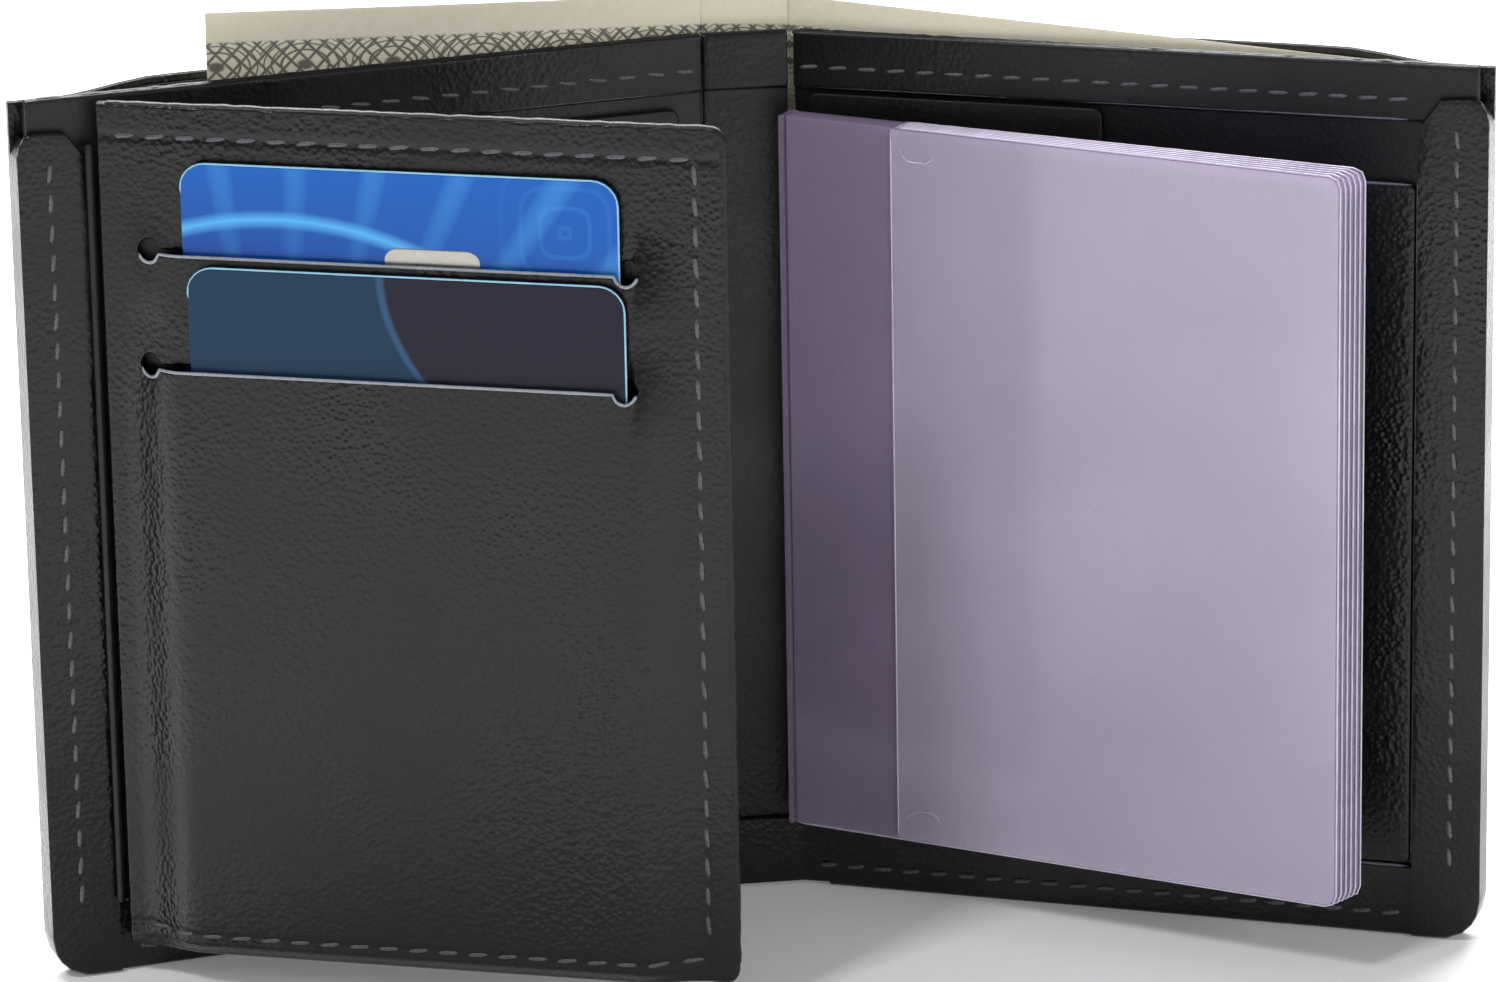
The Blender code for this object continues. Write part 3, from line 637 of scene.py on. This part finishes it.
def flap():
    flap_zone("fine_flap_top", UPPER_SLIT, FLAP_TOP, True, False, "flap_front")
    flap_zone("fine_flap_middle", LOWER_SLIT, UPPER_SLIT, True, True)
    flap_zone("fine_flap_pocket", FLAP_LOW, LOWER_SLIT, False, True)
    soften("flap_back", FLAP, SMOOTH_LEATHER, "flap", "black_leather", 0.25, 2.4, 0.05)
    soften("flap_hinge_gusset", FLAP, SMOOTH_LEATHER, "flap", "black_leather", 0.15, 2.4, 0.0)
    for node in ("upper_slot_lining", "lower_slot_lining"):
        soften(node, FLAP, LINING, "flap", "black_lining", 0.04, 5.0, 0.0)

    def on_flap(u, z, lift):
        return FLAP.at(u, flap_height(u, z) + 0.03 + lift, z)

    stitches("flap_stitches", on_flap, [(2.6, FLAP_ROW_TOP), (FLAP_ROW_SIDE, FLAP_ROW_TOP),
                                        (FLAP_ROW_SIDE, FLAP_ROW_LOW + 2.5)], "flap",
             ("flap_thread",), 0.55, 0.22)
    stitches("flap_bottom_stitches", on_flap, [(3.4, FLAP_ROW_LOW), (FLAP_ROW_SIDE, FLAP_ROW_LOW)],
             "flap", ("flap_bottom_thread",), 0.5, 0.22)
    side, top, turn = FLAP_WIDTH - 0.35, FLAP_TOP - 0.35, 1.5
    roll = [(1.3, top), (side - turn, top)]
    roll += [(side - turn + turn * math.sin(a), top - turn + turn * math.cos(a))
             for a in (math.radians(15 * k) for k in range(1, 7))]
    roll.append((side, FLAP_LOW + 1.5))
    edge_line("flap_rolled_edge", on(FLAP, FLAP_FACE - 0.62), roll, "flap", 0.66, SMOOTH_LEATHER)
    for name, z in (("upper", UPPER_SLIT), ("lower", LOWER_SLIT)):
        path = [(u, z - slit_half(u) - 0.08) for u in spaced(
            SLIT_LEFT - SLIT_HOLE * 0.97, SLIT_RIGHT + SLIT_HOLE * 0.97, 1.5,
            (SLIT_LEFT, SLIT_RIGHT), 1.3, 0.2)]
        edge_line(f"{name}_slit_lip", lambda u, v, lift: FLAP.at(
            u, flap_height(u, v - 0.3) - 0.12 + lift, v), path, "flap", 0.2, SLIT_EDGE)


def card_corner(u, start, size=CARD_CORNER):
    inside = max(0.0, start + size - u, u - (start + CARD_WIDTH - size))
    return size - math.sqrt(max(0.0, size ** 2 - min(inside, size) ** 2))


def cards():
    upper_w = FLAP_FACE + 0.2 + CARD_THICK
    lower_w = upper_w + 0.15 + FLAP_LEATHER + 0.15 + CARD_THICK
    for name, (u, z), w, look, body, slot in (
            ("payment_card_upper", UPPER_CARD, upper_w, BLUE_CARD, "card_upper", "blue_card"),
            ("payment_card_lower", LOWER_CARD, lower_w, DARK_CARD, "card_lower", "dark_card")):
        us = spaced(u, u + CARD_WIDTH, 2.0, (), 3.4, 0.2)
        ts = [(v - z) / CARD_HEIGHT for v in spaced(z, z + CARD_HEIGHT, 3.0, (), 0.6, 0.12)]
        sheet("fine_" + name, FLAP, us, ts, lambda x: z + card_corner(x, u),
              lambda x: z + CARD_HEIGHT - card_corner(x, u), lambda x, v: w, CARD_THICK, look,
              body, slot, (name,), 0.14)
        rim = [(u + 0.1, z + CARD_HEIGHT - 4.0)]
        for start, turned in ((u + CARD_CORNER, 0.0), (u + CARD_WIDTH - CARD_CORNER, 90.0)):
            for k in range(7):
                a = math.radians(turned + 15 * k)
                rim.append((start - CARD_CORNER * math.cos(a), z + CARD_HEIGHT - CARD_CORNER
                            + CARD_CORNER * math.sin(a)))
        rim.append((u + CARD_WIDTH, z + CARD_HEIGHT - 30.0))
        edge_line("rim_" + name, on(FLAP, w - 0.12), rim, body, 0.13, CARD_RIM, slot)
    contact_plate(upper_w)


def contact_plate(face):
    """Eight contact fields parted by fine grooves."""
    left, top = UPPER_CARD[0] + 25.2, UPPER_CARD[1] + CARD_HEIGHT - 9.3
    wide, tall = 11.8, 13.0
    grooves_z = [top - tall * k / 4 for k in (1, 2, 3)]
    grooves_u = [left + wide * 0.34, left + wide * 0.66]
    us = spaced(left, left + wide, 0.5, grooves_u, 0.4, 0.08)
    ts = [(z - top + tall) / tall for z in spaced(top - tall, top, 0.5, grooves_z, 0.4, 0.08)]

    def height(u, z):
        gap = min([abs(z - g) for g in grooves_z] + [abs(u - g) for g in grooves_u])
        return face + 0.08 - 0.045 * (gap < 0.13)

    def corner(u):
        inside = max(0.0, left + 1.6 - u, u - (left + wide - 1.6))
        return 1.6 - math.sqrt(max(0.0, 1.6 ** 2 - min(inside, 1.6) ** 2))

    sheet("fine_card_chip_upper", FLAP, us, ts, lambda u: top - tall + corner(u),
          lambda u: top - corner(u), height, 0.06, CONTACT, "card_upper", "card_contact",
          ("card_chip_upper",), 0.05)


# ------------------------------------------------------------------------ pages
def page_corner(u, right, size=1.5):
    inside = max(0.0, u - (right - size))
    return size - math.sqrt(max(0.0, size ** 2 - min(inside, size) ** 2))


def pages():
    """Six leaves: a back film, and a front film welded to it along three sides."""
    for number in range(1, PAGE_COUNT + 1):
        leaf, body = page_leaf(number), f"page_{number}"
        right = PAGE_WIDTH - 0.25 * (PAGE_COUNT - number)

        def weld(u, z, end):
            d = min(abs(z - PAGE_LOW - 1.6), abs(PAGE_TOP - 1.6 - z), abs(end - 1.6 - u))
            return -0.05 * math.exp(-(d / 0.35) ** 2) if u > 15 else 0.0

        near = (14.5, right - 1.6)
        rows = (PAGE_LOW + 1.6, PAGE_TOP - 1.6)
        for part, left, end, w, look in (
                ("back", 0.0, right, FILM, VINYL_BACK),
                ("front", 14.4, right - 0.2, FILM * 2 + 0.06, VINYL)):
            trim = 0.0 if part == "back" else 0.2
            us = spaced(left, end, 3.0, near, 1.0, 0.3)
            ts = [(z - PAGE_LOW) / (PAGE_TOP - PAGE_LOW)
                  for z in spaced(PAGE_LOW, PAGE_TOP, 3.0, rows, 1.0, 0.3)]
            sheet(f"fine_page_{number}_{part}", leaf, us, ts,
                  lambda u, e=end, t=trim: PAGE_LOW + t + page_corner(u, e),
                  lambda u, e=end, t=trim: PAGE_TOP - t - page_corner(u, e),
                  lambda u, z, w=w, e=end: w + 0.6 * weld(u, z, e), FILM * 0.8, look, body,
                  "clear_vinyl", (f"page_{number}_{part}_film",), 0.05)
        rim = [(15.0, PAGE_TOP), (right - 1.5, PAGE_TOP), (right - 0.4, PAGE_TOP - 0.4),
               (right, PAGE_TOP - 1.5), (right, PAGE_LOW + 1.5), (right - 0.4, PAGE_LOW + 0.4),
               (right - 1.5, PAGE_LOW), (0.4, PAGE_LOW)]
        edge_line(f"page_{number}_rim", on(leaf, FILM * 0.8), rim, body, 0.11, VINYL_RIM,
                  "clear_vinyl")
        if number == 1:
            for end, z in (("top", PAGE_TOP - 3.6), ("bottom", PAGE_LOW + 3.6)):
                sign = 1 if end == "top" else -1
                mark = [(15.6, z + 0.9 * sign), (16.2, z), (17.0, z - 0.5 * sign),
                        (19.2, z - 0.5 * sign), (20.0, z), (20.3, z + 0.6 * sign)]
                edge_line("weld_mark_" + end, on(leaf, FILM * 2 + 0.06), mark, body, 0.09,
                          VINYL_RIM, "clear_vinyl")
            edge_line("page_opening", lambda u, z, lift: leaf.at(u, FILM * 2 + 0.08 + lift, z),
                      [(14.5, PAGE_LOW + 0.6), (14.5, PAGE_TOP - 0.6)], body, 0.09, VINYL_RIM,
                      "clear_vinyl")


# --------------------------------------------------------------------- banknote
def banknote():
    """The tilted note, in three pieces that meet at the creases."""
    tilt = math.radians(NOTE_TILT)
    tall = NOTE_HEIGHT / math.cos(tilt)

    def top(s):
        return NOTE_TOP_LEFT - math.tan(tilt) * (s - NOTE_LEFT_END)

    spans = (("left", LEFT, NOTE_LEFT_END, -SPINE_WIDTH + 0.2, lambda u: -SPINE_WIDTH - u),
             ("centre", SPINE, -SPINE_WIDTH - 1.9, 1.9, lambda u: u - SPINE_WIDTH),
             ("right", RIGHT, -0.35, NOTE_LEFT_END + NOTE_LENGTH, lambda u: u))
    for side, leaf, s0, s1, to_s in spans:
        ends = sorted((-SPINE_WIDTH - s0, -SPINE_WIDTH - s1)) if side == "left" else (
            (s0 + SPINE_WIDTH, s1 + SPINE_WIDTH) if side == "centre" else (s0, s1))
        us = spaced(*ends, 1.6, (), 0.4, 0.3)
        ts = [z / tall for z in spaced(0.0, tall, 2.2, (), 0.4, 0.3)]

        def face(u, z, s_of=to_s, leaf=leaf):
            s = s_of(u)
            behind = 0.3 * (leaf is SPINE)
            return -NOTE_DEPTH + 0.12 * math.sin(s * 0.11) * smooth(abs(s + 5.3) / 20) - 0.06 - behind
        sheet(f"fine_banknote_{side}", leaf, us, ts, lambda u, f=to_s: top(f(u)) - tall,
              lambda u, f=to_s: top(f(u)), face, 0.16, NOTE, f"banknote_{side}", "banknote_paper",
              (f"banknote_{side}",), 0.05, uv=lambda u, z, f=to_s: (f(u) * MM, z * MM))


# ---------------------------------------------------------- stitches and raw edges
def seams():
    mid_left, mid_right = LEFT_WIDTH - 3.9, RIGHT_WIDTH - 3.9
    high = SHELL_HEIGHT - 6.5
    hem = WALLET_HEIGHT - 4.5
    stitches("side_stitches_left", on(LEFT, 1.75), [(mid_left, 9.0), (mid_left, high)],
             "left_cover", ("side_seam_thread_left",))
    stitches("side_stitches_right", on(RIGHT, 1.55), [(mid_right, 9.0), (mid_right, high)],
             "right_cover", ("side_seam_thread_right",))
    stitches("bottom_stitches_left", on(LEFT, 1.1), [(0.8, 2.8), (LEFT_WIDTH - 10.5, 2.8)],
             "left_cover", ("bottom_seam_thread_left",))
    stitches("bottom_stitches_right", on(RIGHT, 1.1), [(2.0, 2.8), (RIGHT_WIDTH - 9.5, 2.8)],
             "right_cover", ("bottom_seam_thread_right",))
    stitches("hem_stitches_left", on(LEFT, 0.48), [(0.6, hem), (LEFT_WIDTH - EDGE_STRIP - 2.5, hem)],
             "left_cover", ("hem_thread_left",), 0.5, 0.26)
    stitches("hem_stitches_right", on(RIGHT, 0.48),
             [(0.8, hem), (RIGHT_WIDTH - EDGE_STRIP - 1.0, hem)], "right_cover",
             ("hem_thread_right",), 0.5, 0.26)
    for side, leaf, wide, w, body in (("left", LEFT, LEFT_WIDTH, 1.62, "left_cover"),
                                      ("right", RIGHT, RIGHT_WIDTH, 1.42, "right_cover")):
        edge_line("side_strip_edge_" + side, on(leaf, w - 0.25),
                  [(wide - EDGE_STRIP, BOTTOM_STRIP + 1.0), (wide - EDGE_STRIP, SHELL_HEIGHT - 13.0)],
                  body, 0.22)
        edge_line("bottom_strip_edge_" + side, on(leaf, 0.8),
                  [(0.6, BOTTOM_STRIP), (wide - EDGE_STRIP - 0.5, BOTTOM_STRIP)], body, 0.2)
        edge_line("hem_edge_" + side, on(leaf, 0.25),
                  [(0.6, WALLET_HEIGHT - 7.0), (wide - EDGE_STRIP - 1.0, WALLET_HEIGHT - 7.0)],
                  body, 0.16)
        edge_line("rolled_hem_" + side, on(leaf, -0.35),
                  [(0.3, WALLET_HEIGHT - 0.45), (wide - 2.0, WALLET_HEIGHT - 0.45)], body, 0.58,
                  SMOOTH_LEATHER)
    edge_line("card_pocket_edge", on(RIGHT, 0.86), [(41.6, 96.5), (78.6, 96.5)], "right_cover", 0.16)


# ------------------------------------------------------------- camera and light
def camera():
    """Three-quarter view from above, a long lens at about 0.93 m."""
    tip, roll = math.radians(17.1063), math.radians(-0.9986)
    ahead = Vector((0, math.cos(tip), -math.sin(tip)))
    right = Vector((1, 0, 0))
    up = right.cross(ahead)
    x_axis = right * math.cos(roll) + up * math.sin(roll)
    y_axis = up * math.cos(roll) - right * math.sin(roll)
    target = Vector((-1.1966, 0, 58.1621)) * MM
    data = bpy.data.cameras.new("camera")
    data.lens, data.sensor_width = 181.3, 36.0
    data.clip_start, data.clip_end = 0.05, 50.0
    eye = bpy.data.objects.new("camera", data)
    bpy.context.scene.collection.objects.link(eye)
    turn = Matrix((x_axis, y_axis, -ahead)).transposed().to_4x4()
    eye.matrix_world = Matrix.Translation(target - ahead * 0.92804) @ turn
    bpy.context.scene.camera = eye


def softbox(name, place, aim, size, power):
    data = bpy.data.lights.new(name, "AREA")
    data.shape, data.size, data.size_y, data.energy = "RECTANGLE", *size, power
    lamp = bpy.data.objects.new(name, data)
    lamp.location = place
    lamp.rotation_mode = "QUATERNION"
    lamp.rotation_quaternion = (Vector(aim) - Vector(place)).to_track_quat("-Z", "Y")
    bpy.context.scene.collection.objects.link(lamp)


def studio():
    """Wide pale floor, a large soft light above and behind, small ones in front."""
    bpy.ops.mesh.primitive_plane_add(size=14.0, location=(0, 0, -0.0002))
    floor = bpy.context.object
    floor.name = "floor"
    look = Look("pale_floor")
    look.set(Base_Color=(0.92, 0.92, 0.92, 1), Roughness=0.9, Emission_Color=(1, 1, 1, 1),
             Emission_Strength=0.12)
    floor.data.materials.append(look.material)
    softbox("above", (0.0, 0.55, 0.7), (0, 0.12, 0.05), (1.1, 0.4), 13.0)
    softbox("front_left", (-0.45, -0.55, 0.95), (0, 0, 0.07), (0.16, 0.16), 4.0)
    softbox("front_right", (0.75, -0.8, 0.45), (0.03, 0, 0.06), (0.2, 0.3), 2.2)
    softbox("floor_behind", (0.0, 0.9, 1.3), (0, 0.6, 0.0), (2.2, 0.5), 34.0)
    world = bpy.data.worlds.new("studio")
    world.use_nodes = True
    world.node_tree.nodes["Background"].inputs["Color"].default_value = (1, 1, 1, 1)
    world.node_tree.nodes["Background"].inputs["Strength"].default_value = 0.28
    bpy.context.scene.view_settings.view_transform = "Standard"
    bpy.context.scene.world = world


covers()
spine()
flap()
cards()
pages()
banknote()
seams()
camera()
studio()
